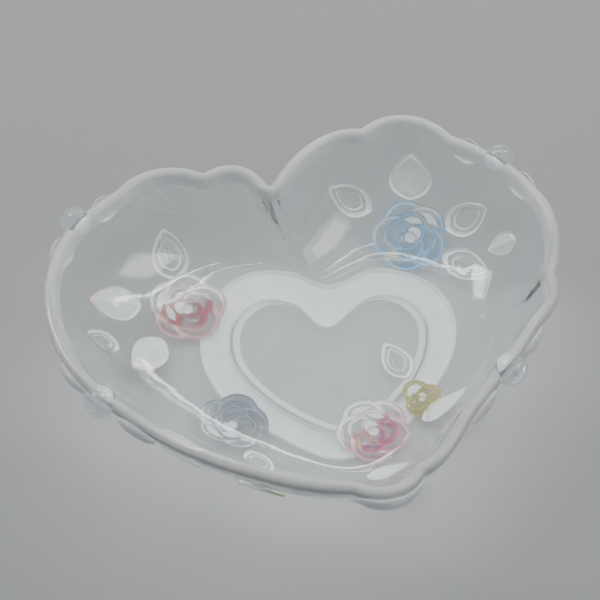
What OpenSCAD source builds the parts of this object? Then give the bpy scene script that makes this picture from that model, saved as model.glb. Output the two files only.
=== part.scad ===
// Open heart-shaped bowl of thick pressed glass, with a satin heart foot, a scalloped rim and
// sprays of roses and leaves raised on its outside. Millimetres, +Z up, resting on Z = 0.

/* [Bowl] */
// Width across both lobes of the rim
bowl_w = 185; // [150:1:250]
// Height from the table to the top of the rim
bowl_h = 42; // [34:1:60]
// Thickness of the glass in the wall and floor
glass_t = 4.6; // [3.6:0.1:6]
// Angle through which the wall curves up from the floor, in degrees
wall_sweep = 72; // [55:1:80]

/* [Foot] */
// Height of the raised foot band under the floor
foot_h = 2.8; // [2:0.1:4]
// Height of the clear heart panel inside the foot band
panel_h = 0.8; // [0.4:0.1:1.5]

/* [Relief] */
// Height of the roses above the wall's outside
rose_h = 2.5; // [1.6:0.1:4]
// Height of the leaves above the wall's outside
leaf_h = 1.5; // [1:0.1:3]
// Diameter of the round glass beads on the rim
bead_d = 11.2; // [8:0.2:13]
// Height of the satin petals beside the beads
petal_h = 2.6; // [1.5:0.1:4]

/* [Smoothness] */
// Facets between two neighbouring stations of the outline
station_steps = 8; // [4:1:10]
// Facets from the floor up to the rim
wall_steps = 12; // [8:1:14]
// Points round each raised leaf, rose and bead
relief_points = 24; // [16:4:32]

/* [Hidden] */

// The outline is drawn at this width and scaled to bowl_w
drawn_w = 184.6;
size_k = bowl_w / drawn_w;
// Moves the drawn outline so that the bowl's box is centred on Z
centre_shift = [-0.2, 0.96];

// Stations run anticlockwise from the notch between the lobes. Each holds the rim's edge, the foot
// band's outer edge, the foot band's inner edge, and how far the scallop after it bulges outwards.
stations = [
    [[-12.5, 47], [10, 28], [9, 8], 5.5],
    [[-37, 53.5], [-6, 34], [-3, 18.5], 4],
    [[-69, 45], [-23, 32.5], [-16, 20.5], 0],
    [[-90.5, 14.5], [-36, 18], [-26, 11], 1],
    [[-83, -29], [-38, -5], [-27, -3], 0],
    [[-51, -59], [-28, -25], [-21, -15], 0],
    [[-16, -75], [-10, -38], [-8, -27.5], 0],
    [[15.5, -80.5], [7.5, -47], [8, -36.5], 3.5],
    [[39.5, -73.5], [21, -46], [19, -38], 1],
    [[57, -51], [37, -34], [29, -29.5], 0],
    [[82.5, -14.5], [52, -11], [41, -14], 1.5],
    [[89.5, 7], [57, 5], [46, 0], 2.5],
    [[86, 46], [55, 19.5], [45.5, 13], 0],
    [[56.5, 71.5], [45, 31], [37, 22], 5],
    [[21.5, 75], [27.5, 35.5], [24, 21.5], 5]
];
station_count = len(stations);
// Drawn places of one column, back round to the first
function drawn(column) =
    [for (i = [0:station_count]) size_k * (stations[i % station_count][column] + centre_shift)];
// A line has one more control point at each end: carried straight on for a sharp notch, or taken
// from the other end for a rounded one
function sharp_line(p) = [2 * p[0] - p[1], each p, 2 * p[station_count] - p[station_count - 1]];
function round_line(p) = [p[station_count - 1], each p, p[1]];
rim_line = sharp_line(drawn(0));
foot_line = round_line(drawn(1));
heart_line = round_line(drawn(2));
bulges = [for (s = stations) size_k * s[3]];

floor_centre = size_k * ([10, 0] + centre_shift);
// The round edge of the leaning rim rises this share of the glass thickness above the outside
rim_rise = 0.69;
rim_z = bowl_h - rim_rise * glass_t;
around = station_count * station_steps;
rim_roll_steps = 5;
fit_gap = 0.3;
// Relief under the bowl stops this far above the table
table_gap = 0.3;
// Rounds of the search that lays an outline on the curved wall
newton_rounds = 4;
// Step in station and height units for measuring slopes
tiny = 0.002;
degrees_per_radian = 180 / PI;

// --- Curves -----------------------------------------------------------------------------------

function unit(v) = v / norm(v);
function wrap(u) = u - station_count * floor(u / station_count);
// Smooth curve through a line's stations; u counts stations from the notch
function along(line, u) =
    let(
        w = wrap(u), i = floor(w), f = w - i,
        a = line[i], b = line[i + 1], c = line[i + 2], d = line[i + 3]
    )
    (2 * b + (c - a) * f + (2 * a - 5 * b + 4 * c - d) * f * f
        + (3 * b - a - 3 * c + d) * f * f * f) / 2;
// Outward push of the scallop at u: a parabola between neighbouring stations
function scallop(u) =
    let(
        w = wrap(u), i = floor(w), f = w - i,
        t = unit(along(rim_line, u + tiny) - along(rim_line, u - tiny))
    )
    bulges[i] * 4 * f * (1 - f) * [t[1], -t[0]];

// Outside of the glass at station u and height share s: an arc of wall_sweep degrees, stretched
// between the foot and the rim. Below s = 0 it runs on flat, under the floor.
function outside(u, s) =
    let(
        g = s < 0 ? s * wall_sweep / degrees_per_radian / sin(wall_sweep)
            : sin(wall_sweep * s) / sin(wall_sweep),
        k = s < 0 ? 0 : (1 - cos(wall_sweep * s)) / (1 - cos(wall_sweep)),
        foot = along(foot_line, u),
        plan = foot + (along(rim_line, u) - foot) * g
            + (s > 0 && s <= 1 + tiny ? scallop(u) * s * s : [0, 0])
    )
    [plan[0], plan[1], foot_h + (rim_z - foot_h) * k];
function around_slope(u, s) = (outside(u + tiny, s) - outside(u - tiny, s)) / (2 * tiny);
function up_slope(u, s) = (outside(u, s) - outside(u, s - tiny)) / tiny;
function outward(u, s) = unit(cross(around_slope(u, s), up_slope(u, s)));

// --- Bowl -------------------------------------------------------------------------------------

function ring_u(i) = i / station_steps;
function outside_ring(j) = [for (i = [0:around - 1]) outside(ring_u(i), j / wall_steps)];
function inside_ring(j) = [
    for (i = [0:around - 1])
        let(u = ring_u(i))
        j == 0 ? [each along(foot_line, u), foot_h + glass_t] : inner_point(u, j / wall_steps)
];
function inner_point(u, s) = outside(u, s) - glass_t * outward(u, s);
// Half circle over the top of the wall, from the outside (angle 0) to the inside (180)
function rim_ring(angle) = [
    for (i = [0:around - 1])
        let(u = ring_u(i), n = outward(u, 1), t = unit(up_slope(u, 1)), r = glass_t / 2)
        outside(u, 1) - r * n + r * (cos(angle) * n + sin(angle) * t)
];

// Closed skin over a stack of equal rings, capped by a point at each end
module ring_stack(start, rings, end) {
    n = len(rings[0]);
    last = len(rings) - 1;
    points = [start, for (r = rings) each r, end];
    function at(r, i) = 1 + r * n + i % n;
    sides = [
        for (r = [0:last - 1], i = [0:n - 1])
            each [
                [at(r, i), at(r + 1, i), at(r + 1, i + 1)],
                [at(r, i), at(r + 1, i + 1), at(r, i + 1)]
            ]
    ];
    caps = [
        for (i = [0:n - 1])
            each [[0, at(0, i), at(0, i + 1)], [len(points) - 1, at(last, i + 1), at(last, i)]]
    ];
    polyhedron(points, concat(sides, caps));
}

module bowl() {
    color([0.86, 0.93, 0.94, 0.4])
        ring_stack(
            [each floor_centre, foot_h],
            concat(
                [for (j = [0:wall_steps]) outside_ring(j)],
                [for (k = [1:rim_roll_steps]) rim_ring(180 * k / (rim_roll_steps + 1))],
                [for (j = [wall_steps:-1:0]) inside_ring(j)]
            ),
            [each floor_centre, foot_h + glass_t]
        );
}

// --- Relief on the wall -----------------------------------------------------------------------

// Outline of a leaf, pointing along +X
function leaf_outline(length, width) = [
    for (i = [0:relief_points - 1])
        let(a = 360 * i / relief_points, y = sin(a))
        [length / 2 * cos(a), width / 2 * sign(y) * pow(abs(y), 1.5) * (1 - 0.3 * cos(a))]
];
// Outline of a flower: a circle with a few shallow lobes
rose_lobes = 5;
bud_lobes = 3;
lobe_depth = 0.06;
function rose_outline(radius, lobes) = [
    for (i = [0:relief_points - 1])
        let(a = 360 * i / relief_points)
        radius * (1 - lobe_depth + lobe_depth * cos(lobes * a)) * [cos(a), sin(a)]
];

// Station and height of the wall point that lies over p in the plane (e1, e2) at origin o
function wall_under(p, o, e1, e2, us, rounds) =
    rounds == 0 ? us
    : let(
        d = outside(us[0], us[1]) - o,
        miss = p - [d * e1, d * e2],
        a = around_slope(us[0], us[1]), b = up_slope(us[0], us[1]),
        det = (a * e1) * (b * e2) - (b * e1) * (a * e2),
        du = (miss[0] * (b * e2) - miss[1] * (b * e1)) / det,
        ds = (miss[1] * (a * e1) - miss[0] * (a * e2)) / det
    )
    wall_under(p, o, e1, e2, us + [du, ds], rounds - 1);
// Point at a height above the wall's outside, held clear of the table where the wall is low
function raised(us, height) =
    let(o = outside(us[0], us[1]), n = outward(us[0], us[1]))
    o + min(height, (o[2] - table_gap) / max(-n[2], tiny)) * n;
function on_wall(p, o, e1, e2, us, height) =
    raised(wall_under(p, o, e1, e2, us, newton_rounds), height);

// Raised shape on the wall's outside. from and to are its two ends as [station, height share], and
// the outline is in the plane that touches the wall midway. The top is a dome over a low edge.
edge_share = 0.45;
dome_rings = [0.35, 0.7, 1];
function dome(r, h) = h * (edge_share + (1 - edge_share) * (1 - r * r));
module wall_relief(from, to, outline, h) {
    mid = (from + to) / 2;
    o = outside(mid[0], mid[1]);
    n = outward(mid[0], mid[1]);
    span = outside(to[0], to[1]) - outside(from[0], from[1]);
    e1 = unit(span - (span * n) * n);
    e2 = cross(n, e1);
    function lift(p, height) = on_wall(p, o, e1, e2, mid, height);
    ring_stack(
        raised(mid, h),
        concat(
            [for (r = dome_rings) [for (p = outline) lift(r * p, dome(r, h))]],
            [[for (p = outline) lift(p, 0)], [for (p = outline) lift(dome_rings[1] * p, 0)]]
        ),
        o
    );
}
// Leaf between two places on the wall
module wall_leaf(from, to, width, h = leaf_h) {
    length = norm(outside(to[0], to[1]) - outside(from[0], from[1]));
    wall_relief(from, to, leaf_outline(length, size_k * width), h);
}
// Rose centred on one place on the wall
module wall_rose(place, radius) {
    reach = [0.05, 0];
    outline = rose_outline(size_k * radius, rose_lobes);
    wall_relief(place - reach, place + reach, outline, rose_h);
}

// Slice of the bowl's own wall and rim round station u, with the same facets as the bowl
patch_reach = 0.3;
patch_rows = 3;
module wall_slice(u) {
    first = floor((u - patch_reach) * station_steps);
    last = ceil((u + patch_reach) * station_steps);
    sections = [for (i = [first:last]) wall_section(i / station_steps)];
    n = len(sections[0]);
    m = len(sections);
    points = [for (s = sections) each s, ring_centre(sections[0]), ring_centre(sections[m - 1])];
    function at(r, i) = i * n + r % n;
    sides = [
        for (r = [0:n - 1], i = [0:m - 2])
            each [
                [at(r, i), at(r + 1, i), at(r + 1, i + 1)],
                [at(r, i), at(r + 1, i + 1), at(r, i + 1)]
            ]
    ];
    ends = [
        for (r = [0:n - 1])
            each [[m * n, at(r + 1, 0), at(r, 0)], [m * n + 1, at(r, m - 1), at(r + 1, m - 1)]]
    ];
    polyhedron(points, concat(sides, ends));
}
// Section of the upper wall at station u: up the outside, over the rim and down the inside
function wall_section(u) =
    let(n = outward(u, 1), t = unit(up_slope(u, 1)), r = glass_t / 2, low = wall_steps - patch_rows)
    [
        for (j = [low:wall_steps]) outside(u, j / wall_steps),
        for (k = [1:rim_roll_steps])
            let(a = 180 * k / (rim_roll_steps + 1))
            outside(u, 1) - r * n + r * (cos(a) * n + sin(a) * t),
        for (j = [wall_steps:-1:low]) inner_point(u, j / wall_steps)
    ];

// --- Relief under the floor -------------------------------------------------------------------

// Same domed shape, hanging from the flat underside and stopping short of the table
module floor_relief(outline, h) {
    reach = min(h, foot_h - table_gap);
    ring_stack(
        [each ring_centre(outline), foot_h - reach],
        concat(
            [
                for (r = dome_rings)
                    [
                        for (p = outline)
                            let(q = ring_centre(outline) + r * (p - ring_centre(outline)))
                            [q[0], q[1], foot_h - dome(r, reach)]
                    ]
            ],
            [[for (p = outline) [p[0], p[1], foot_h]]]
        ),
        [each ring_centre(outline), foot_h]
    );
}
function ring_centre(outline) = [for (p = outline) 1] * outline / len(outline);
// Outlines are listed clockwise as seen from above, so that they run anticlockwise from below
function mirrored(outline) = [for (i = [len(outline) - 1:-1:0]) outline[i]];
function moved(outline, turn, place) = [
    for (p = outline)
        place + [p[0] * cos(turn) - p[1] * sin(turn), p[0] * sin(turn) + p[1] * cos(turn)]
];
function floor_place(p) = size_k * (p + centre_shift);
pink_at = floor_place([25, -36]);
pink_r = size_k * 13.5;
bud_at = floor_place([43, -22.5]);
bud_r = size_k * 8;
over_from = floor_place([38, -14]);
over_to = floor_place([30, 2]);
over_w = size_k * 11;
over_outline = let(d = over_to - over_from)
    moved(leaf_outline(norm(d), over_w), atan2(d[1], d[0]), (over_from + over_to) / 2);

// --- Foot -------------------------------------------------------------------------------------

function line_points(line) = [for (i = [0:around - 1]) along(line, ring_u(i))];
// Places on the wall where the roses reach in over the foot
crimson_at = [3.03, 0.11];
blue_at = [13.35, 0.28];
grey_at = [5.28, 0.1];
wall_rose_r = 15;
grey_r = 14.4;
cut_facets = 64;
module rose_clearance(grow) {
    for (c = [[crimson_at, wall_rose_r], [blue_at, wall_rose_r], [grey_at, grey_r]]) {
        o = outside(c[0][0], c[0][1]);
        translate([o[0], o[1]]) circle(size_k * c[1] + grow, $fn = cut_facets);
    }
    translate(pink_at) circle(pink_r + grow, $fn = cut_facets);
    translate(bud_at) circle(bud_r + grow, $fn = cut_facets);
    translate((over_from + over_to) / 2) scale((over_w + 2 * grow) / over_w)
        translate(-(over_from + over_to) / 2) polygon(over_outline);
}
module foot_band() {
    color([0.93, 0.95, 0.95])
        linear_extrude(foot_h)
            difference() {
                polygon(line_points(foot_line));
                polygon(line_points(heart_line));
                rose_clearance(fit_gap);
            }
}
module floor_panel() {
    panel_inset = 0.97;
    middle = floor_centre;
    color([0.82, 0.92, 0.93])
        translate([0, 0, foot_h - panel_h])
            linear_extrude(panel_h)
                difference() {
                    polygon([for (p = line_points(heart_line)) middle + panel_inset * (p - middle)]);
                    rose_clearance(fit_gap);
                }
}

// --- Named pieces -----------------------------------------------------------------------------

clear = [0.78, 0.9, 0.92];
satin = [0.94, 0.95, 0.95];
// Beads stand on the rim, their middles this far above the top of the wall's outside
bead_lift = 1;
// Height share of the petals' middle line, their width, and their two ends from the bead's station
petal_s = 0.96;
petal_w = 9;
petal_near = 0.16;
petal_far = 0.54;

module tip_lobe() { color(satin) wall_leaf([7.05, petal_s], [7.95, petal_s], petal_w); }
module rose_crimson() { color([0.75, 0.2, 0.3]) wall_rose(crimson_at, wall_rose_r); }
module rose_blue() { color([0.6, 0.75, 0.88]) wall_rose(blue_at, wall_rose_r); }
module rose_grey() { color([0.6, 0.67, 0.75]) wall_rose(grey_at, grey_r); }
module rose_pink() {
    color([0.85, 0.45, 0.6])
        floor_relief(mirrored(moved(rose_outline(pink_r, rose_lobes), 0, pink_at)), rose_h);
}
module bud_olive() {
    color([0.75, 0.72, 0.3])
        floor_relief(mirrored(moved(rose_outline(bud_r, bud_lobes), 0, bud_at)), rose_h);
}
module leaf_left_back() { color(clear) wall_leaf([2.46, 0.26], [1.79, 0.64], 15); }
module leaf_left_satin() { color(satin) wall_leaf([3.05, 0.36], [3.18, 0.68], 14); }
module leaf_left_green() { color(clear) wall_leaf([3.64, 0.47], [3.53, 0.68], 9); }
module leaf_left_low() { color(satin) wall_leaf([3.56, 0.2], [3.93, 0.41], 13); }
module leaf_top_satin() { color(satin) wall_leaf([13.39, 0.52], [13.44, 0.81], 17); }
module leaf_top_clear() { color(clear) wall_leaf([13.96, 0.44], [14.43, 0.7], 12); }
module leaf_right_clear() { color(clear) wall_leaf([12.8, 0.42], [12.41, 0.7], 13); }
module leaf_right_low() { color(clear) wall_leaf([12.75, 0.22], [11.8, 0.36], 12); }
module leaf_right_satin() { color(satin) wall_leaf([11.89, 0.68], [12.14, 0.47], 9); }
module leaf_grey_low() { color(clear) wall_leaf([5.7, 0.26], [6.05, 0.5], 10); }
module leaf_pink_behind() { color(satin) wall_leaf([9.2, 0.12], [9.66, 0.38], 10); }
module leaf_pink_under() { color(satin) wall_leaf([7.7, 0.26], [8.45, 0.42], 9); }
module leaf_pink_over() { color(clear) floor_relief(mirrored(over_outline), leaf_h); }
module leaf_near_a() { color(clear) wall_leaf([4.85, 0.62], [5.4, 0.72], 11); }
module leaf_near_b() { color(clear) wall_leaf([5.75, 0.78], [6.3, 0.72], 11); }

// A rim group is a clear bead between two satin petals, centred on station u
left_back = 2.54;
left_front = 4.5;
right_front = 9.5;
right_back = 12.5;
module rim_bead(u) {
    color(clear)
        difference() {
            glass_ball(outside(u, 1) + [0, 0, bead_lift], size_k * bead_d / 2);
            wall_slice(u);
        }
}
// Ball by latitude and longitude
ball_step = 15;
module glass_ball(middle, r) {
    pole = [0, 0, r];
    rings = [
        for (lat = [ball_step - 90:ball_step:90 - ball_step])
            [
                for (lon = [0:ball_step:360 - ball_step])
                    middle + r * [cos(lat) * cos(lon), cos(lat) * sin(lon), sin(lat)]
            ]
    ];
    ring_stack(middle - pole, rings, middle + pole);
}
// Petal to one side of a bead; side is -1 or 1
module rim_petal(u, side) {
    color(satin)
        wall_leaf([u + side * petal_near, petal_s], [u + side * petal_far, petal_s], petal_w, petal_h);
}
module bead_left_back() { rim_bead(left_back); }
module petal_left_back_a() { rim_petal(left_back, -1); }
module petal_left_back_b() { rim_petal(left_back, 1); }
module bead_left_front() { rim_bead(left_front); }
module petal_left_front_a() { rim_petal(left_front, -1); }
module petal_left_front_b() { rim_petal(left_front, 1); }
module bead_right_front() { rim_bead(right_front); }
module petal_right_front_a() { rim_petal(right_front, -1); }
module petal_right_front_b() { rim_petal(right_front, 1); }
module bead_right_back() { rim_bead(right_back); }
module petal_right_back_a() { rim_petal(right_back, -1); }
module petal_right_back_b() { rim_petal(right_back, 1); }

bowl();
foot_band();
floor_panel();
tip_lobe();
rose_crimson();
rose_blue();
rose_grey();
rose_pink();
bud_olive();
leaf_left_back();
leaf_left_satin();
leaf_left_green();
leaf_left_low();
leaf_top_satin();
leaf_top_clear();
leaf_right_clear();
leaf_right_low();
leaf_right_satin();
leaf_grey_low();
leaf_pink_behind();
leaf_pink_under();
leaf_pink_over();
leaf_near_a();
leaf_near_b();
bead_left_back();
petal_left_back_a();
petal_left_back_b();
bead_left_front();
petal_left_front_a();
petal_left_front_b();
bead_right_front();
petal_right_front_a();
petal_right_front_b();
bead_right_back();
petal_right_back_a();
petal_right_back_b();
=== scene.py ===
import math
from collections import namedtuple

import bpy
import numpy as np
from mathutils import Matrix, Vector


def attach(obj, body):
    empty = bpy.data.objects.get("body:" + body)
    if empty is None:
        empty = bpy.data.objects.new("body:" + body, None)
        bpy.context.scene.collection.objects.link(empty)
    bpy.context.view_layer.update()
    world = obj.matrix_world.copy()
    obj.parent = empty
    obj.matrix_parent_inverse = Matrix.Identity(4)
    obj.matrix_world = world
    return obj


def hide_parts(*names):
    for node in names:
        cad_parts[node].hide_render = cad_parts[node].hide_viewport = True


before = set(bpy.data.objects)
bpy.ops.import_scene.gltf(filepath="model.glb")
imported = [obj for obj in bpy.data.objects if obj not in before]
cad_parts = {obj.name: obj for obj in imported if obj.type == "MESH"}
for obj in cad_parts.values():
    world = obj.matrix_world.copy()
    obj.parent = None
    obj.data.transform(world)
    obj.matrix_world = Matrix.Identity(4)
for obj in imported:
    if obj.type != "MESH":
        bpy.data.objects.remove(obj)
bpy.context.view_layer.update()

bl_info = {
    "name": "Heart Relief Glass Bowl",
    "version": (1, 0, 0),
    "blender": (4, 5, 0),
    "location": "View3D > Sidebar > Glass Bowl",
    "description": "Makes a pressed-glass heart bowl with raised roses, satin leaves and a heart foot",
    "category": "Add Mesh",
}

# The frame's box, before any piece is made, in metres
MM = 0.001
BODY = "root"

# Stations run anticlockwise from the notch between the lobes, in millimetres: the rim's edge, the
# foot band's outer edge, its inner edge, and how far the scallop after it bulges outwards.
STATIONS = [
    ((-12.5, 47), (10, 28), (9, 8), 5.5),
    ((-37, 53.5), (-6, 34), (-3, 18.5), 4),
    ((-69, 45), (-23, 32.5), (-16, 20.5), 0),
    ((-90.5, 14.5), (-36, 18), (-26, 11), 1),
    ((-83, -29), (-38, -5), (-27, -3), 0),
    ((-51, -59), (-28, -25), (-21, -15), 0),
    ((-16, -75), (-10, -38), (-8, -27.5), 0),
    ((15.5, -80.5), (7.5, -47), (8, -36.5), 3.5),
    ((39.5, -73.5), (21, -46), (19, -38), 1),
    ((57, -51), (37, -34), (29, -29.5), 0),
    ((82.5, -14.5), (52, -11), (41, -14), 1.5),
    ((89.5, 7), (57, 5), (46, 0), 2.5),
    ((86, 46), (55, 19.5), (45.5, 13), 0),
    ((56.5, 71.5), (45, 31), (37, 22), 5),
    ((21.5, 75), (27.5, 35.5), (24, 21.5), 5),
]
COUNT = len(STATIONS)
# Scale that makes the outline 185 mm wide, and shift in mm that centres it
SIZE_K = 185 / 184.6
SHIFT = np.array([-0.2, 0.96])


def control_line(column, sharp):
    """One closed line of stations in metres, with one more point at each end: carried straight on
    for a sharp notch, or taken from the other end for a rounded one."""
    line = np.array([s[column] for s in STATIONS] + [STATIONS[0][column]], float)
    line = (line + SHIFT) * SIZE_K * MM
    if sharp:
        return np.vstack([2 * line[0] - line[1], line, 2 * line[-1] - line[-2]])
    return np.vstack([line[-2], line, line[1]])


RIM_LINE = control_line(0, True)
FOOT_LINE, HEART_LINE = control_line(1, False), control_line(2, False)
BULGES = np.array([s[3] for s in STATIONS]) * SIZE_K * MM
GLASS_T = 4.6 * MM
SWEEP = math.radians(72)
FOOT_H = 2.8 * MM
PANEL_H = 0.8 * MM
RIM_Z = 42 * MM - 0.69 * GLASS_T
FLOOR_CENTRE = (np.array([10.0, 0.0]) + SHIFT) * SIZE_K * MM
# Air between two pieces of the one casting, thin enough not to bend light
HAIR = 0.03 * MM
# Relief under the bowl stops this far above the table
TABLE_GAP = 0.3 * MM
# Step in stations and height shares for measuring slopes
TINY = 0.002
# Facets over the rim
ROLL_STEPS = 13
# Height share over which the inside turns up from the floor
TURN_REACH = 0.6


# --- Places of the relief ----------------------------------------------------------------------

Flower = namedtuple("Flower", "on_wall place radius petals turn slot stain_way spread")
# Place is (station, height share) on the wall and mm under the floor, radius in mm, turn in
# radians. The stain gathers in a plan direction, and spread lets some of it onto every lip.
FLOWERS = {
    "rose_crimson": Flower(True, (3.03, 0.11), 15, 5, 0.3, "crimson_stain", (0.2, -1), 0.08),
    "rose_blue": Flower(True, (13.35, 0.28), 15, 5, 1.0, "blue_stain", (0.3, -1), 0.55),
    "rose_grey": Flower(True, (5.28, 0.1), 13, 5, 0.6, "grey_stain", (0.6, 0.8), 0.45),
    "rose_pink": Flower(False, (25, -36), 13.5, 5, 0.9, "pink_stain", (0.6, -0.8), 0.05),
    "bud_olive": Flower(False, (43, -22.5), 8, 3, 0.2, "olive_stain", (0.5, -0.5), 0.8),
}
OVER_FOOT = ("rose_crimson", "rose_grey", "rose_pink", "bud_olive")
# Outer petals: how far out their middles lie and their size, as shares of the layout radius
PETAL_FAR, PETAL_SIZE = 0.4, 0.62
# A flower's reach over its layout radius, and the radius of its middle button over the same
LOBE_REACH, BUTTON = PETAL_FAR + PETAL_SIZE, 0.14
GOLD = (0.85, 0.6, 0.12)

# Clear and satin leaves on the wall: stem end and tip as (station, height share), width in mm
CLEAR_LEAVES = {
    "leaf_left_back": ((2.46, 0.26), (1.79, 0.64), 15),
    "leaf_left_green": ((3.64, 0.47), (3.53, 0.68), 9),
    "leaf_top_clear": ((13.96, 0.44), (14.43, 0.7), 12),
    "leaf_right_clear": ((12.8, 0.42), (12.41, 0.7), 13),
    "leaf_right_low": ((12.75, 0.22), (11.8, 0.36), 12),
    "leaf_grey_low": ((5.7, 0.26), (6.05, 0.5), 10),
    "leaf_near_a": ((4.85, 0.62), (5.4, 0.72), 11),
    "leaf_near_b": ((5.75, 0.78), (6.3, 0.72), 11),
}
SATIN_LEAVES = {
    "leaf_left_satin": ((3.05, 0.36), (3.18, 0.68), 14),
    "leaf_left_low": ((3.56, 0.2), (3.93, 0.41), 13),
    "leaf_top_satin": ((13.39, 0.52), (13.44, 0.81), 17),
    "leaf_right_satin": ((11.89, 0.68), (12.14, 0.47), 9),
    "leaf_pink_behind": ((9.2, 0.12), (9.66, 0.38), 10),
    "leaf_pink_under": ((7.7, 0.26), (8.45, 0.42), 9),
}
# Clear leaf under the floor: stem end, tip and width in mm
OVER_LEAF = ((38, -14), (30, 2), 11)
# Stain on a leaf's border: the plan direction it gathers in and how strong it is
LEAF_STAINS = {
    "leaf_left_satin": ((-1, 0.3), 0.9),
    "leaf_left_low": ((-0.3, -1), 0.6),
    "leaf_left_green": ((0.2, -1), 1.0),
    "leaf_left_back": ((1, 0.3), 0.6),
    "leaf_right_low": ((1, -0.2), 0.6),
    "leaf_near_b": ((0.2, -1), 0.8),
}
PINK_EDGED = ("leaf_left_satin", "leaf_left_low")
# Middle station of each rim group, and how far its bead's middle stands above the wall's top
RIM_GROUPS = {"left_back": 2.54, "left_front": 4.5, "right_front": 9.5, "right_back": 12.5}
BEAD_LIFT = 1 * MM
# Height share of the rim petals' middle line, their width in mm, and their two ends in stations
# from the bead's middle
PETAL_S, PETAL_W, PETAL_NEAR, PETAL_END = 0.96, 9, 0.16, 0.54
TIP_ENDS = (7.05, 7.95)
# Points round a flower, a leaf and a cut outline, and rings from a middle out to the edge
FLOWER_POINTS, LEAF_POINTS, CUT_POINTS = 180, 96, 72
FLOWER_RINGS, LEAF_RINGS = 60, 28


# --- The bowl's surface ----------------------------------------------------------------------

def along(line, u):
    """Catmull-Rom curve through a line's stations: u counts stations from the notch."""
    w = np.mod(u, COUNT)
    i = np.floor(w).astype(int)
    f = (w - i)[..., None]
    a, b, c, d = (line[i + k] for k in range(4))
    return (2 * b + (c - a) * f + (2 * a - 5 * b + 4 * c - d) * f**2
            + (3 * b - a - 3 * c + d) * f**3) / 2


def unit(v):
    """Vectors over their own lengths."""
    return v / np.linalg.norm(v, axis=-1, keepdims=True)


def scallop(u):
    """Outward push of the rim: a parabola between neighbouring stations, across the rim line."""
    w = np.mod(u, COUNT)
    i = np.floor(w).astype(int)
    f = w - i
    t = unit(along(RIM_LINE, u + TINY) - along(RIM_LINE, u - TINY))
    return (BULGES[i] * 4 * f * (1 - f))[..., None] * np.stack([t[..., 1], -t[..., 0]], -1)


def outside(u, s):
    """Outside of the glass at station u and height share s: the plan goes from the foot to the rim
    as sin(sweep s) / sin(sweep), the height as (1 - cos(sweep s)) / (1 - cos(sweep)), and the
    scallops fade in as s squared. Below s = 0 it runs on flat, under the floor."""
    u, s = np.broadcast_arrays(np.asarray(u, float), np.asarray(s, float))
    low = s < 0
    g = np.where(low, s * SWEEP / math.sin(SWEEP), np.sin(SWEEP * s) / math.sin(SWEEP))
    k = np.where(low, 0, (1 - np.cos(SWEEP * s)) / (1 - math.cos(SWEEP)))
    foot = along(FOOT_LINE, u)
    plan = foot + (along(RIM_LINE, u) - foot) * g[..., None]
    plan = plan + scallop(u) * np.where(low, 0, s * s)[..., None]
    return np.concatenate([plan, (FOOT_H + (RIM_Z - FOOT_H) * k)[..., None]], -1)


def slopes(u, s):
    """Change of the outside per station and per height share, by differences."""
    around = (outside(u + TINY, s) - outside(u - TINY, s)) / (2 * TINY)
    up = (outside(u, s) - outside(u, s - TINY)) / TINY
    return around, up


def outward(u, s):
    """Unit normal of the outside: the two slopes crossed."""
    around, up = slopes(u, s)
    return unit(np.cross(around, up))


def raised(u, s, height, most):
    """Points at a height above the outside. Where the wall is so low that relief of the given
    most height would come too near the table, all heights shrink in proportion."""
    o, n = outside(u, s), outward(u, s)
    room = (o[..., 2] - TABLE_GAP) / np.maximum(-n[..., 2], TINY)
    return o + (height * np.minimum(1, room / most))[..., None] * n


# --- Mesh making -----------------------------------------------------------------------------

def stack_faces(rings, n):
    """Quads between neighbouring rings of n points and two fans of triangles at the ends."""
    i = np.arange(n)
    j = (i + 1) % n
    base = 1 + n * np.arange(rings - 1)[:, None]
    quads = np.stack([base + i, base + j, base + n + j, base + n + i], -1).reshape(-1, 4)
    last = 1 + n * (rings - 1)
    end = 1 + n * rings
    start_fan = np.stack([np.zeros(n, int), j + 1, i + 1], -1)
    end_fan = np.stack([np.full(n, end), last + i, last + j], -1)
    return quads, np.vstack([start_fan, end_fan])


def mesh_volume(points, quads, tris):
    """Signed volume by the divergence theorem, to tell inside out from right way round."""
    all_tris = np.vstack([quads[:, [0, 1, 2]], quads[:, [0, 2, 3]], tris])
    a, b, c = (points[all_tris[:, k]] for k in range(3))
    return np.einsum("ij,ij->i", a, np.cross(b, c)).sum() / 6


def add_object(name, data):
    """New object in the scene."""
    item = bpy.data.objects.new(name, data)
    bpy.context.scene.collection.objects.link(item)
    return item


def fill_mesh(name, points, quads, tris):
    """New smooth mesh object at the origin, its faces turned outwards."""
    if mesh_volume(points, quads, tris) < 0:
        quads, tris = quads[:, ::-1], tris[:, ::-1]
    mesh = bpy.data.meshes.new(name)
    mesh.from_pydata(points.tolist(), [], quads.tolist() + tris.tolist())
    mesh.polygons.foreach_set("use_smooth", np.ones(len(mesh.polygons), bool))
    mesh.update()
    return add_object(name, mesh)


def stack_piece(name, start, rings, end):
    """Closed skin over a stack of equal rings, capped by a point at each end."""
    rings = np.asarray(rings)
    points = np.vstack([start[None], rings.reshape(-1, 3), end[None]])
    return fill_mesh(name, points, *stack_faces(rings.shape[0], rings.shape[1]))


def add_mask(piece, name, values):
    """A number per point that the material reads as an attribute."""
    layer = piece.data.attributes.new(name, "FLOAT", "POINT")
    layer.data.foreach_set("value", np.asarray(values, float).ravel())


def paint(piece, numbers, first=0):
    """Write material numbers to a piece's faces, from the first one given on."""
    index = np.zeros(len(piece.data.polygons), int)
    piece.data.polygons.foreach_get("material_index", index)
    index[first:first + len(numbers)] = numbers
    piece.data.polygons.foreach_set("material_index", index)


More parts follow.
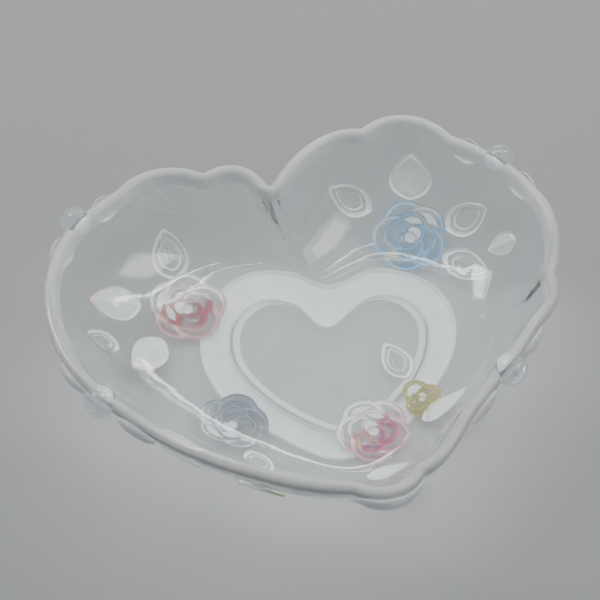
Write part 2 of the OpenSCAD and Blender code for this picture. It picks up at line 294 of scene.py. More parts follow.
def paint_tops(piece, picks):
    """Material number of each quad on a relief's top: picks has one per ring gap and point. The
    fan in the middle follows the first ring, and the back stays clear, number 0."""
    paint(piece, picks.ravel())
    paint(piece, picks[0], len(piece.data.polygons) - 2 * picks.shape[1])


def settle(piece, materials, nodes):
    """Give a piece its materials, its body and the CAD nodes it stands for."""
    for material in materials:
        piece.data.materials.append(material)
    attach(piece, BODY)
    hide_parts(*nodes)
    return piece


# --- Materials -------------------------------------------------------------------------------

def add_node(nodes, kind, **values):
    """New shader node with the given values on its named inputs, spaces written as underscores."""
    node = nodes.new("ShaderNode" + kind)
    for name, value in values.items():
        node.inputs[name.replace("_", " ")].default_value = value
    return node


def colour_mix(nodes, first=(1, 1, 1, 1), second=(1, 1, 1, 1)):
    """Mix of two colours; returns its share, first, second and result sockets."""
    mix = nodes.new("ShaderNodeMix")
    mix.data_type = "RGBA"
    mix.inputs[6].default_value = first
    mix.inputs[7].default_value = second
    return mix.inputs[0], mix.inputs[6], mix.inputs[7], mix.outputs[2]


def new_group(name, inputs, outputs):
    """Empty shader node group with named sockets and its two end nodes."""
    tree = bpy.data.node_groups.new(name, "ShaderNodeTree")
    for label, kind, value in inputs:
        socket = tree.interface.new_socket(label, in_out="INPUT", socket_type=kind)
        if value is not None:
            socket.default_value = value
    for label, kind in outputs:
        tree.interface.new_socket(label, in_out="OUTPUT", socket_type=kind)
    return tree, tree.nodes.new("NodeGroupInput"), tree.nodes.new("NodeGroupOutput")


def ripple_group():
    """Slow waves and fine drag lines that a mould leaves in pressed glass: Height out."""
    if "mould_ripple" in bpy.data.node_groups:
        return bpy.data.node_groups["mould_ripple"]
    tree, start, end = new_group(
        "mould_ripple",
        [("Vector", "NodeSocketVector", None), ("Waves", "NodeSocketFloat", 90.0),
         ("Fine", "NodeSocketFloat", 0.2)],
        [("Height", "NodeSocketFloat"), ("Haze", "NodeSocketFloat")])
    waves = add_node(tree.nodes, "TexNoise", Detail=1.0)
    fine = add_node(tree.nodes, "TexNoise", Scale=700.0, Detail=3.0)
    scaled, total = add_node(tree.nodes, "Math"), add_node(tree.nodes, "Math")
    scaled.operation, total.operation = "MULTIPLY", "ADD"
    haze = add_node(tree.nodes, "MapRange", From_Min=0.45, From_Max=0.75)
    link = tree.links.new
    link(start.outputs["Vector"], waves.inputs["Vector"])
    link(start.outputs["Vector"], fine.inputs["Vector"])
    link(start.outputs["Waves"], waves.inputs["Scale"])
    link(fine.outputs["Fac"], scaled.inputs[0])
    link(start.outputs["Fine"], scaled.inputs[1])
    link(waves.outputs["Fac"], total.inputs[0])
    link(scaled.outputs[0], total.inputs[1])
    link(total.outputs[0], end.inputs["Height"])
    link(waves.outputs["Fac"], haze.inputs["Value"])
    link(haze.outputs["Result"], end.inputs["Haze"])
    return tree


def stain_group():
    """Colour wash held by a mask and broken up by noise, over clear glass: Color out."""
    if "stain_wash" in bpy.data.node_groups:
        return bpy.data.node_groups["stain_wash"]
    tree, start, end = new_group(
        "stain_wash",
        [("Vector", "NodeSocketVector", None), ("Clear", "NodeSocketColor", (1, 1, 1, 1)),
         ("Stain", "NodeSocketColor", (1, 0, 0, 1)), ("Second", "NodeSocketColor", (1, 1, 0, 1)),
         ("Mask", "NodeSocketFloat", 1.0)],
        [("Color", "NodeSocketColor")])
    patches = add_node(tree.nodes, "TexNoise", Scale=160.0, Detail=2.0)
    pick = add_node(tree.nodes, "MapRange", From_Min=0.5, From_Max=0.66)
    two_share, one, other, two = colour_mix(tree.nodes)
    held, clear, stained, washed = colour_mix(tree.nodes)
    link = tree.links.new
    link(start.outputs["Vector"], patches.inputs["Vector"])
    link(patches.outputs["Fac"], pick.inputs["Value"])
    link(pick.outputs["Result"], two_share)
    link(start.outputs["Stain"], one)
    link(start.outputs["Second"], other)
    link(start.outputs["Mask"], held)
    link(start.outputs["Clear"], clear)
    link(two, stained)
    link(washed, end.inputs["Color"])
    return tree


def bare_material(name):
    """Material with a Principled shader that lets lamps through to what lies behind it."""
    material = bpy.data.materials.new(name)
    material.use_nodes = True
    nodes, links = material.node_tree.nodes, material.node_tree.links
    shader = nodes["Principled BSDF"]
    output = nodes["Material Output"]
    path = nodes.new("ShaderNodeLightPath")
    lamp = nodes.new("ShaderNodeBsdfTransparent")
    mix = nodes.new("ShaderNodeMixShader")
    links.new(path.outputs["Is Shadow Ray"], mix.inputs[0])
    links.new(shader.outputs[0], mix.inputs[1])
    links.new(lamp.outputs[0], mix.inputs[2])
    links.new(mix.outputs[0], output.inputs["Surface"])
    place = nodes.new("ShaderNodeTexCoord")
    return material, nodes, links, shader, lamp, place.outputs["Object"]


def add_ripple(nodes, links, shader, place, waves, fine, depth):
    """Bump the surface with the mould's ripple; returns the haze mask."""
    ripple = nodes.new("ShaderNodeGroup")
    ripple.node_tree = ripple_group()
    ripple.inputs["Waves"].default_value = waves
    ripple.inputs["Fine"].default_value = fine
    bump = add_node(nodes, "Bump", Strength=0.5, Distance=depth)
    links.new(place, ripple.inputs["Vector"])
    links.new(ripple.outputs["Height"], bump.inputs["Height"])
    links.new(bump.outputs["Normal"], shader.inputs["Normal"])
    return ripple.outputs["Haze"]


def mask_ramp(nodes, links, source, low, high):
    """Stretch a mask of 0 to 1 over two values."""
    ramp = add_node(nodes, "MapRange", To_Min=low, To_Max=high)
    links.new(source, ramp.inputs["Value"])
    return ramp.outputs["Result"]


def read_mask(nodes, name):
    """The piece's own mask of that name."""
    reader = nodes.new("ShaderNodeAttribute")
    reader.attribute_name = name
    return reader.outputs["Fac"]


def glass_material(name, clear, wash, mask, through, ior, lamps, rough, ripple):
    """Glass with a wash of two colours over its clear colour, held by a mask: a number, or None
    for the piece's own. through is the share of light that passes, lamps the share of lamp light
    that reaches what lies behind, rough the roughness from clean to hazy, and ripple the waves,
    fine grain and depth in metres."""
    if name in bpy.data.materials:
        return bpy.data.materials[name]
    material, nodes, links, shader, lamp, place = bare_material(name)
    lamp.inputs["Color"].default_value = (lamps, lamps, lamps, 1)
    shader.inputs["Transmission Weight"].default_value = through
    shader.inputs["IOR"].default_value = ior
    haze = add_ripple(nodes, links, shader, place, *ripple)
    group = nodes.new("ShaderNodeGroup")
    group.node_tree = stain_group()
    group.inputs["Clear"].default_value = (*clear, 1)
    group.inputs["Stain"].default_value = (*wash[0], 1)
    group.inputs["Second"].default_value = (*wash[1], 1)
    links.new(place, group.inputs["Vector"])
    if mask is None:
        links.new(read_mask(nodes, "stain"), group.inputs["Mask"])
    else:
        group.inputs["Mask"].default_value = mask
    links.new(group.outputs["Color"], shader.inputs["Base Color"])
    links.new(mask_ramp(nodes, links, haze, *rough), shader.inputs["Roughness"])
    return material


def polished_glass():
    """Clear pressed glass: faint mould ripple, patches of very light haze."""
    return glass_material("polished_pressed_glass", (0.98, 0.995, 0.99),
                          ((0.93, 0.97, 0.965), (0.96, 0.985, 0.98)), 0.5,
                          through=0.965, ior=1.48, lamps=0.9, rough=(0.0, 0.006),
                          ripple=(60.0, 0.05, 0.001))


def bead_glass():
    """Glass of the thick beads, a little milkier than the wall."""
    return glass_material("bead_glass", (0.95, 0.97, 0.975),
                          ((0.9, 0.93, 0.94), (0.97, 0.98, 0.98)), 0.5,
                          through=0.9, ior=1.45, lamps=0.85, rough=(0.0, 0.03),
                          ripple=(120.0, 0.1, 0.0006))


def highlight_edge_glass():
    """Fire-polished edges and rolled borders, glossy and shown in milky white glass: the milky white
    is a painted highlight for the light the edges gather.
    """
    # Whitish base colour and low transmission here are painted highlight on clear edges
    return glass_material("fire_polished_edge", (0.95, 0.965, 0.97),
                          ((0.88, 0.91, 0.92), (0.98, 0.98, 0.97)), 0.7,
                          through=0.42, ior=1.5, lamps=0.8, rough=(0.04, 0.1),
                          ripple=(110.0, 0.3, 0.0008))


def satin_glass():
    """Acid-etched glass: white and translucent, with a fine even grain."""
    return glass_material("acid_etched_satin", (0.8, 0.81, 0.825),
                          ((0.73, 0.745, 0.765), (0.85, 0.855, 0.86)), 0.7,
                          through=0.15, ior=1.45, lamps=0.65, rough=(0.4, 0.55),
                          ripple=(220.0, 1.2, 0.0004))


def stained_highlight_edge(name, stain):
    """Rolled edge in milky white glass, a painted highlight, that carries a real colour stain where
    its mask says.
    """
    gold = tuple(0.4 * c + 0.6 * g for c, g in zip(stain, GOLD))
    # The stain is the decoration's own colour; the milky white beneath it is painted highlight
    return glass_material(name + "_on_rolled_edge", (0.95, 0.965, 0.97), (stain, gold), None,
                          through=0.12, ior=1.5, lamps=0.8, rough=(0.04, 0.1),
                          ripple=(160.0, 0.15, 0.0006))


def stained_clear(name, stain):
    """Clear hollow of a flower, tinted where its mask says."""
    pale = tuple(0.5 + 0.5 * c for c in stain)
    return glass_material(name + "_in_hollow", (0.97, 0.985, 0.985), (stain, pale), None,
                          through=0.94, ior=1.5, lamps=0.85, rough=(0.0, 0.02),
                          ripple=(160.0, 0.15, 0.0006))


def floor_material(shade):
    """Pale matt table: even colour with a faint mottle."""
    material = bpy.data.materials.new("pale_table")
    material.use_nodes = True
    nodes, links = material.node_tree.nodes, material.node_tree.links
    shader = nodes["Principled BSDF"]
    shader.inputs["Roughness"].default_value = 0.75
    place = nodes.new("ShaderNodeTexCoord")
    mottle = add_node(nodes, "TexNoise", Scale=6.0)
    links.new(place.outputs["Object"], mottle.inputs["Vector"])
    share, _, _, mixed = colour_mix(nodes, (*(c * 0.97 for c in shade), 1), (*shade, 1))
    links.new(mottle.outputs["Fac"], share)
    links.new(mixed, shader.inputs["Base Color"])
    return material


# --- Bowl, foot and floor panel --------------------------------------------------------------

def ring_stations(steps):
    """Stations round the outline, steps to each gap."""
    return np.arange(COUNT * steps) / steps


def through_glass(s, n):
    """Way from the inside out to the outside: straight down at the foot, turning by a smooth step
    over the lower wall into the outside's normal, so that the inside doesn't fold where the wall
    is steep."""
    share = np.clip(s / TURN_REACH, 0, 1)
    turned = (share**2 * (3 - 2 * share))[..., None]
    return unit(turned * n + (1 - turned) * np.array([0, 0, -1.0]))


def rim_roll(edge, n, up, grow):
    """Half circle across the glass over the wall's top edge, from the outside to the inside: edge
    and n are the outside's points and normals there, up its unit slope."""
    r = GLASS_T / 2
    angle = (np.pi * np.arange(1, ROLL_STEPS + 1) / (ROLL_STEPS + 1))[:, None, None]
    return edge - r * n + (r + grow) * (np.cos(angle) * n + np.sin(angle) * up)


def bowl_rings(steps, wall_steps):
    """Rings up the outside, over the rim as a half circle across the glass, and down the inside,
    which is the outside moved in by the glass thickness."""
    u = ring_stations(steps)[None]
    s = np.linspace(0, 1, wall_steps + 1)[:, None]
    outer = outside(u, s)
    n_all = outward(u, s)
    inner = outer - GLASS_T * through_glass(s, n_all)
    roll = rim_roll(outer[-1], n_all[-1], unit(slopes(u[0], 1.0)[1]), 0)
    return outer, roll, inner[::-1]


def build_bowl(props):
    """The clear shell. The floor's rings run in from the foot line to the middle, and the wall,
    rim and inside follow bowl_rings. The rim and a little of the wall below it are milky white, a
    painted highlight."""
    painted_highlight_rows = 2
    outer, roll, inner = bowl_rings(props.steps_round, props.steps_up)
    inward = np.array([0.75, 0.5, 0.25])[:, None, None]
    centre = np.append(FLOOR_CENTRE, 0.0)
    under = centre + np.array([0, 0, FOOT_H])
    above = centre + np.array([0, 0, FOOT_H + GLASS_T])
    under_rings = (under + (outer[0] - under)[None] * inward)[::-1]
    above_rings = above + (inner[-1] - above)[None] * inward
    rings = np.concatenate([under_rings, outer, roll, inner, above_rings])
    piece = stack_piece("bowl_shell", under, rings, above)
    n = rings.shape[1]
    first = len(under_rings) + len(outer) - 1 - painted_highlight_rows
    last = first + 2 * painted_highlight_rows + ROLL_STEPS + 1
    # Rim rows in milky edge glass: painted highlight
    paint(piece, np.ones((last - first) * n, int), first * n)
    settle(piece, [polished_glass(), highlight_edge_glass()], ["bowl"])


def wall_slice(u, grow):
    """Closed slice of the upper wall and rim round station u, its skin moved out by grow."""
    reach, low, columns, rows = 0.3, 0.72, 60, 14
    u = np.linspace(u - reach, u + reach, columns)
    s = np.linspace(low, 1, rows)[:, None]
    n_all = outward(u[None], s)
    wall = outside(u[None], s)
    roll = rim_roll(wall[-1], n_all[-1], unit(slopes(u, 1.0)[1]), grow)
    section = np.concatenate([wall + grow * n_all, roll, (wall - (GLASS_T + grow) * n_all)[::-1]])
    rings = np.swapaxes(section, 0, 1)
    return stack_piece("slice", rings[0].mean(0), rings, rings[-1].mean(0))


def build_beads(props):
    """Round beads on the rim: balls by latitude and longitude, their middles BEAD_LIFT above the
    top of the wall's outside, hollowed to sit over the rim with a hair of air."""
    radius, rows, columns = props.bead_width / 2, 34, 64
    lat = np.linspace(-np.pi / 2, np.pi / 2, rows)[1:-1, None]
    lon = np.linspace(0, 2 * np.pi, columns, endpoint=False)[None]
    ball = radius * np.stack([np.cos(lat) * np.cos(lon), np.cos(lat) * np.sin(lon),
                              np.sin(lat) + 0 * lon], -1)
    pole = np.array([0, 0, radius])
    for group, u in RIM_GROUPS.items():
        middle = outside(u, 1.0) + np.array([0, 0, BEAD_LIFT])
        piece = stack_piece(f"bead_{group}_ball", middle - pole, middle + ball, middle + pole)
        settle(piece, [bead_glass()], ["bead_" + group])
        cut_away(piece, [wall_slice(u, HAIR)], 35)


def cut_away(piece, tools, sharp_from):
    """Cut closed tool meshes out of a piece, one after the other, and delete them. Edges that bend
    by more degrees than sharp_from stay crisp."""
    for tool in tools:
        for material in piece.data.materials:
            tool.data.materials.append(material)
        step = piece.modifiers.new("step", "BOOLEAN")
        step.object = tool
        step.operation = "DIFFERENCE"
        step.solver = "EXACT"
        depsgraph = bpy.context.evaluated_depsgraph_get()
        mesh = bpy.data.meshes.new_from_object(piece.evaluated_get(depsgraph))
        piece.modifiers.remove(step)
        old = piece.data
        piece.data = mesh
        bpy.data.meshes.remove(old)
        bpy.data.meshes.remove(tool.data)
    piece.data.name = piece.name
    piece.data.set_sharp_from_angle(angle=math.radians(sharp_from))


def prism(outline, low, high):
    """Upright closed prism over an outline."""
    n = len(outline)
    rings = np.stack([np.column_stack([outline, np.full(n, z)]) for z in (low, high)])
    middle = outline.mean(0)
    tool = stack_piece("prism", np.append(middle, low), rings, np.append(middle, high))
    tool.data.polygons.foreach_set("use_smooth", np.zeros(len(tool.data.polygons), bool))
    paint(tool, np.ones(len(tool.data.polygons), int))
    return tool


def cut_out(piece):
    """Cut the outlines of the relief out of a flat piece, so that the relief stands in the gaps."""
    gap, spare = 0.25 * MM, 1 * MM
    tools = [prism(outline, -spare, FOOT_H + spare) for outline in clearances(gap)]
    cut_away(piece, tools, 24)


def clearances(grow):
    """Outlines of the flowers and the leaf that reach in over the foot, grown by a gap."""
    outlines = []
    for flower in (FLOWERS[name] for name in OVER_FOOT):
        lay, _ = flower_lay(flower, MM)
        edge = flower_edge(flower, CUT_POINTS) * (1 + grow / layout_radius(flower))
        outlines.append(lay(edge, np.zeros(CUT_POINTS))[:, :2])
    start, end, width = OVER_LEAF
    middle, axes, length = leaf_place(start, end)
    outline = leaf_edge(length, width * SIZE_K * MM, CUT_POINTS) @ axes
    leaf_waist = 4 * MM
    outlines.append(middle + outline * (1 + grow / leaf_waist))
    return outlines


def floor_place(place):
    """A place under the floor, in metres."""
    return (np.array(place, float) + SHIFT) * SIZE_K * MM


def band_rings(outer, inner, across, height):
    """Rings of a band between two heart lines: each at a share across and a height."""
    return np.array([np.column_stack([outer + (inner - outer) * a, np.full(len(outer), h)])
                     for a, h in zip(across, height)])


def build_foot(props):
    """The heart foot: a band with rounded shoulders, carried round between the two heart lines.
    across runs 0 to 1 from the outer line to the inner one. Its underside is satin, its flanks
    are in milky white edge glass, a painted highlight, and its top, which lies against the floor, is
    clear."""
    u = ring_stations(props.steps_round)
    high, round_share, drop_most = FOOT_H - HAIR, 0.08, 0.6 * MM
    turn = np.linspace(0, np.pi / 2, 5)
    shoulder = round_share * (1 - np.cos(turn))
    drop = drop_most * (1 - np.sin(turn))
    across = np.concatenate([[0], shoulder, 1 - shoulder[::-1], [1]])
    height = np.concatenate([[high], drop, drop[::-1], [high]])
    rings = band_rings(along(FOOT_LINE, u), along(HEART_LINE, u), across, height)
    count, n = rings.shape[:2]
    i = np.arange(n)
    j = (i + 1) % n
    base = n * np.arange(count)[:, None]
    after = n * ((np.arange(count) + 1) % count)[:, None]
    quads = np.stack([base + i, base + j, after + j, after + i], -1).reshape(-1, 4)
    piece = fill_mesh("foot_satin_band", rings.reshape(-1, 3), quads, np.zeros((0, 3), int))
    # Rows of faces: flank and shoulder, underside, shoulder and flank, then the top
    flank = len(turn)
    row_index = np.array([2] * flank + [1] + [2] * flank + [0])
    # Number 2, the flanks and shoulders, is milky edge glass: painted highlight
    paint(piece, np.repeat(row_index, n))
    settle(piece, [polished_glass(), satin_glass(), highlight_edge_glass()], ["foot_band"])
    cut_out(piece)


def build_panel(props):
    """The clear heart inside the foot: a thin panel whose edge slopes down over its last tenth, that
    slope in milky white edge glass as a painted highlight.
    """
    u = ring_stations(props.steps_round)
    edge = along(HEART_LINE, u)
    top, low = FOOT_H - HAIR, FOOT_H - PANEL_H
    shares = [0.97, 0.955, 0.93, 0.9, 0.7, 0.4]
    heights = [top, top - 0.35 * (top - low), top - 0.85 * (top - low), low, low, low]
    rings = [np.column_stack([FLOOR_CENTRE + a * (edge - FLOOR_CENTRE), np.full(len(u), h)])
             for a, h in zip(shares, heights)]
    piece = stack_piece("floor_heart_panel", np.append(FLOOR_CENTRE, top), rings,
                        np.append(FLOOR_CENTRE, low))
    sloping_rows = 3
    # Sloping rows in milky edge glass: painted highlight on the bevel
    paint(piece, np.ones(sloping_rows * len(u), int))
    settle(piece, [polished_glass(), highlight_edge_glass()], ["floor_panel"])
    cut_out(piece)


# --- Relief ----------------------------------------------------------------------------------

def tangent_frame(start, end):
    """Origin, axis along, axis across and the middle's [u, s], for relief between two places."""
    start, end = np.array(start, float), np.array(end, float)
    mid = (start + end) / 2
    o, n = outside(*mid), outward(*mid)
    span = outside(*end) - outside(*start)
    e1 = unit(span - (span @ n) * n)
    return o, e1, np.cross(n, e1), mid, np.linalg.norm(span)


def lay_on_wall(points, o, e1, e2, mid, height, most):
    """Wall points that lie over plane points (x, y), by Newton's method on the outside's two
    slopes, each raised by its own height."""
    u = np.full(points.shape[:-1], mid[0])
    s = np.full(points.shape[:-1], mid[1])
    for _ in range(5):
        d = outside(u, s) - o
        miss_x, miss_y = points[..., 0] - d @ e1, points[..., 1] - d @ e2
        a, b = slopes(u, s)
        ax, ay, bx, by = a @ e1, a @ e2, b @ e1, b @ e2
        det = ax * by - bx * ay
        u = u + (miss_x * by - miss_y * bx) / det
        s = s + (miss_y * ax - miss_x * ay) / det
    return raised(u, s, height, most)


def relief_piece(name, lay, edge, rise, picks, rings):
    """Closed shell of relief. edge is its outline in the plane, rise(share, points) its height,
    picks(share, points) its material numbers, and lay puts plane points at a height on the bowl.
    The top goes from the middle out to the edge, the back runs a hair above the glass."""
    crowding, least = 0.85, 3 * HAIR
    share = np.linspace(0, 1, rings + 1)[1:] ** crowding
    top_plan = share[:, None, None] * edge[None]
    share = np.broadcast_to(share[:, None], top_plan.shape[:-1])
    top = lay(top_plan, np.maximum(rise(share, top_plan), least))
    back_share = np.array([1.0, 0.75, 0.5, 0.25])
    back_plan = back_share[:, None, None] * edge[None]
    back = lay(back_plan, np.full(back_plan.shape[:-1], HAIR))
    middle = np.zeros((1, 1, 2))
    peak = lay(middle, rise(np.zeros((1, 1)), middle))[0, 0]
    heel = lay(middle, np.full((1, 1), HAIR))[0, 0]
    piece = stack_piece(name, peak, np.concatenate([top, back]), heel)
    paint_tops(piece, picks(share, top_plan))
    return piece, top_plan


def point_masks(piece, top_plan, mask):
    """Mask for every point of a relief shell: its middle, its top rings, and nothing behind."""
    values = mask(top_plan).ravel()
    rest = len(piece.data.vertices) - 1 - len(values)
    return np.concatenate([mask(np.zeros((1, 1, 2))).ravel(), values, np.zeros(rest)])


def leaf_edge(length, width, points):
    """Pointed leaf outline along +X: half width goes as |sin| to the power 1.5, fuller behind."""
    a = np.linspace(0, 2 * np.pi, points, endpoint=False)
    y = np.sin(a)
    return np.column_stack([length / 2 * np.cos(a),
                            width / 2 * np.sign(y) * np.abs(y)**1.5 * (1 - 0.3 * np.cos(a))])


def bump_at(x, middle, width):
    """Smooth ridge: exp(-((x - middle) / width) squared)."""
    return np.exp(-((x - middle) / width)**2)


def clear_leaf(h, width):
    """Clear leaf: a rounded border ridge, a nested inner outline and a low midrib. Returns its
    height, and its material numbers: 1 on the two ridges, whose milky white glass is a painted
    highlight under a real stain."""
    border, nested = 0.87, 0.56

    def rise(share, plan):
        rib = bump_at(plan[..., 1], 0, 0.05 * width) * np.clip(1.1 - share, 0, 1)
        edge_fall = np.sqrt(np.clip(1 - share**12, 0, 1))
        return h * edge_fall * (0.2 + 0.8 * bump_at(share, border, 0.1)
                                + 0.5 * bump_at(share, nested, 0.07) + 0.35 * rib)

    def picks(share, plan):
        # Number 1 is milky stained edge glass: painted highlight on the ridges, with a real stain
        return ((np.abs(share - border) < 0.075) | (np.abs(share - nested) < 0.03)).astype(int)
    return rise, picks


def satin_leaf(h, width):
    """Satin leaf: two flat facets that meet in a crease along the midrib, inside a rolled border.
    Returns its height, and its material numbers: 2 on the facets, 1 on the border, whose milky white
    is a painted highlight under a real stain."""
    border, border_foot = 0.9, 0.85

    def rise(share, plan):
        facet = 0.05 + 0.85 * np.clip(np.abs(plan[..., 1]) / (0.5 * width), 0, 1)
        edge_fall = np.sqrt(np.clip(1 - share**14, 0, 1))
        return h * edge_fall * np.minimum(facet + bump_at(share, border, 0.08), 1)

    def picks(share, plan):
        # Border, number 1, is milky stained edge glass: painted highlight with a real stain
        return np.where(share > border_foot, 1, 2)
    return rise, picks


def satin_petal(h):
    """Rim petal: a smooth satin pillow."""
    def rise(share, plan):
        return h * np.sqrt(np.clip(1 - share**2.5, 0, 1))

    def picks(share, plan):
        return np.full(share.shape, 2)
    return rise, picks


def layout_radius(flower):
    """Radius that a flower's petals are laid out on, in metres, from its reach in mm."""
    return flower.radius * SIZE_K * MM / LOBE_REACH


def flower_edge(flower, points):
    """A flower's outline in its plane: at each angle, the furthest of its outer petals' circles."""
    radius, petals = layout_radius(flower), flower.petals
    angle = np.linspace(0, 2 * np.pi, points, endpoint=False)
    off = angle[:, None] - (flower.turn + 2 * np.pi * np.arange(petals) / petals)
    far, size = PETAL_FAR * radius, PETAL_SIZE * radius
    reach = (far * np.cos(off) + np.sqrt(size**2 - (far * np.sin(off))**2)).max(1)
    return reach[:, None] * np.column_stack([np.cos(angle), np.sin(angle)])


def flower_layers(flower):
    """Petals of a flower from the outside in: middle (x, y), size and level of each."""
    radius, petals = layout_radius(flower), flower.petals
    layers = []
    for count, far, size, lag, level in [(petals, PETAL_FAR, PETAL_SIZE, 0.0, 0.25),
                                         (petals - 1, 0.28, 0.42, 0.5, 0.5),
                                         (2, 0.14, 0.27, 1.1, 0.72)]:
        for k in range(count):
            a = flower.turn + lag + 2 * np.pi * k / count
            layers.append((radius * far * math.cos(a), radius * far * math.sin(a),
                           radius * size, level + 0.04 * (k % 2)))
    return layers


def away(plan, x, y, size):
    """Distance of plane points from (x, y), over a size."""
    return np.hypot(plan[..., 0] - x, plan[..., 1] - y) / size


def flower_shape(h, flower, towards):
    """What makes a flower: its height, its material numbers and its stain mask. Each petal is a
    shallow cup with a rolled lip, later petals lie over earlier ones, and a small button stands
    in the middle. Numbers are 1 on the lips, 2 in every other cup and on the button, and 0 in the
    other hollows. The lips are milky white glass, a painted highlight, under the stain. The stain is
    strongest on the inner petals' lips and towards one direction."""
    layers = flower_layers(flower)
    radius, spread = layout_radius(flower), flower.spread
    lip, lip_foot, cup_end = 0.89, 0.8, 0.66

    def rise(share, plan):
        height = np.full(plan.shape[:-1], 0.12)
        for x, y, size, level in layers:
            d = away(plan, x, y, size)
            petal = level + 0.34 * bump_at(d, lip, 0.08) - 0.26 * (1 - d)
            height = np.where(d < 1, np.maximum(petal, height * (d > 0.93)), height)
        d = away(plan, 0, 0, BUTTON * radius)
        height = np.maximum(height, (0.72 + 0.28 * np.sqrt(np.clip(1 - d**2, 0, 1))) * (d < 1))
        return h * height * np.sqrt(np.clip(1 - share**24, 0, 1))

    def picks(share, plan):
        number = np.zeros(share.shape, int)
        for k, (x, y, size, _) in enumerate(layers):
            d = away(plan, x, y, size)
            cup = 2 if k % 4 == 1 else 0
            # Lips, number 1, take milky stained edge glass: painted highlight under a real stain
            number = np.where(d < 1, np.where(d > lip_foot, 1, np.where(d < cup_end, cup, 0)),
                              number)
        return np.where(away(plan, 0, 0, BUTTON * radius) < 1, 2, number)

    def mask(plan):
        stain = np.zeros(plan.shape[:-1])
        for k, (x, y, size, _) in enumerate(layers):
            d = away(plan, x, y, size)
            inner = 1.0 if k >= flower.petals else 0.3
            lips = inner * (0.2 + 0.8 * bump_at(d, lip_foot, 0.25))
            stain = np.where(d < 1, np.maximum(spread, lips), stain)
        region = np.clip((plan @ towards / radius + 0.35) / 0.4, 0, 1)
        return np.clip(2.2 * stain * np.maximum(region, spread), 0, 1)
    return rise, picks, mask


def leaf_piece(name, lay, length, width, shape, materials):
    """Leaf of a length in metres and a width in mm, laid by lay; shape is its height and picks."""
    edge = leaf_edge(length, width * SIZE_K * MM, LEAF_POINTS)
    piece, _ = relief_piece(name + "_relief", lay, edge, *shape, LEAF_RINGS)
    return settle(piece, materials, [name])


def wall_leaf(name, start, end, width, shape, h, materials):
    """Leaf laid on the wall between two places."""
    o, e1, e2, mid, length = tangent_frame(start, end)

    def lay(plan, height):
        return lay_on_wall(plan, o, e1, e2, mid, height, h)
    return leaf_piece(name, lay, length, width, shape, materials)


def flat_lay(place, axes, most):
    """Puts plane points under the flat floor, hanging down by their height."""
    shrink = min(1, (FOOT_H - TABLE_GAP) / most)

    def lay(plan, height):
        return np.concatenate([place + plan @ axes, (FOOT_H - height * shrink)[..., None]], -1)
    return lay


def flower_lay(flower, most):
    """What puts a flower's plane points at a height on the bowl, and its plane's two axes."""
    if not flower.on_wall:
        return flat_lay(floor_place(flower.place), np.eye(2), most), np.eye(2, 3)
    u, s = flower.place
    o, e1, e2, mid, _ = tangent_frame((u - 0.05, s), (u + 0.05, s))

    def lay(plan, height):
        return lay_on_wall(plan, o, e1, e2, mid, height, most)
    return lay, np.array([e1, e2])


def build_flowers(props):
    """The three roses on the wall, and the pink rose and the olive bud under the floor."""
    for name, flower in FLOWERS.items():
        lay, axes = flower_lay(flower, props.rose_height)
        towards = axes @ np.array([*flower.stain_way, 0.0])
        rise, picks, mask = flower_shape(props.rose_height, flower, towards)
        piece, top_plan = relief_piece(name + "_relief", lay, flower_edge(flower, FLOWER_POINTS),
                                       rise, picks, FLOWER_RINGS)
        add_mask(piece, "stain", point_masks(piece, top_plan, mask))
        stain = tuple(getattr(props, name))
        # Second material: the real stain over milky white that is painted highlight on the lips
        settle(piece, [stained_clear(flower.slot, stain), stained_highlight_edge(flower.slot, stain),
                       satin_glass()], [name])


def leaf_place(start, end):
    """Middle, axes along and across, and length of a leaf under the floor."""
    a, b = floor_place(start), floor_place(end)
    x = unit(b - a)
    return (a + b) / 2, np.array([x, [-x[1], x[0]]]), np.linalg.norm(b - a)


def stain_border(piece, name):
    """Stain mask of a leaf: how far its points lie from its middle in the stain's direction."""
    (x, y), strength = LEAF_STAINS.get(name, ((1, 0), 0))
    points = np.empty(len(piece.data.vertices) * 3)
    piece.data.vertices.foreach_get("co", points)
    plan = points.reshape(-1, 3)[:, :2]
    side = (plan - plan.mean(0)) @ unit(np.array([x, y], float))
    add_mask(piece, "stain", strength * np.clip(side / side.max() * 1.6 - 0.6, 0, 1))


def build_leaves(props):
    """All leaves: clear ones with nested outlines, satin ones with facets and a rolled border."""
    h = props.leaf_height
    # Border glass: a real pink or green stain over milky white that is painted highlight
    pink = stained_highlight_edge("pink_stain", tuple(props.rose_pink))
    green = stained_highlight_edge("green_stain", tuple(props.leaf_green))
    clear, satin = polished_glass(), satin_glass()
    for name, (start, end, width) in CLEAR_LEAVES.items():
        piece = wall_leaf(name, start, end, width, clear_leaf(h, width * MM), h, [clear, green])
        stain_border(piece, name)
    for name, (start, end, width) in SATIN_LEAVES.items():
        border = pink if name in PINK_EDGED else green
        piece = wall_leaf(name, start, end, width, satin_leaf(h, width * MM), h,
                          [clear, border, satin])
        stain_border(piece, name)
    start, end, width = OVER_LEAF
    middle, axes, length = leaf_place(start, end)
    piece = leaf_piece("leaf_pink_over", flat_lay(middle, axes, h), length, width,
                       clear_leaf(h, width * MM), [clear, green])
    stain_border(piece, "leaf_pink_over")


def build_rim(props):
    """Satin petals either side of each bead on the rim, and the satin lobe at the tip."""
    ends = {f"petal_{group}_{end}": (u + side * PETAL_NEAR, u + side * PETAL_END)
            for group, u in RIM_GROUPS.items() for end, side in zip("ab", (-1, 1))}
    ends["tip_lobe"] = TIP_ENDS
    h = props.petal_height
    materials = [polished_glass(), highlight_edge_glass(), satin_glass()]
    for name, (near, far) in ends.items():
        wall_leaf(name, (near, PETAL_S), (far, PETAL_S), PETAL_W, satin_petal(h), h, materials)


# --- Stage -----------------------------------------------------------------------------------

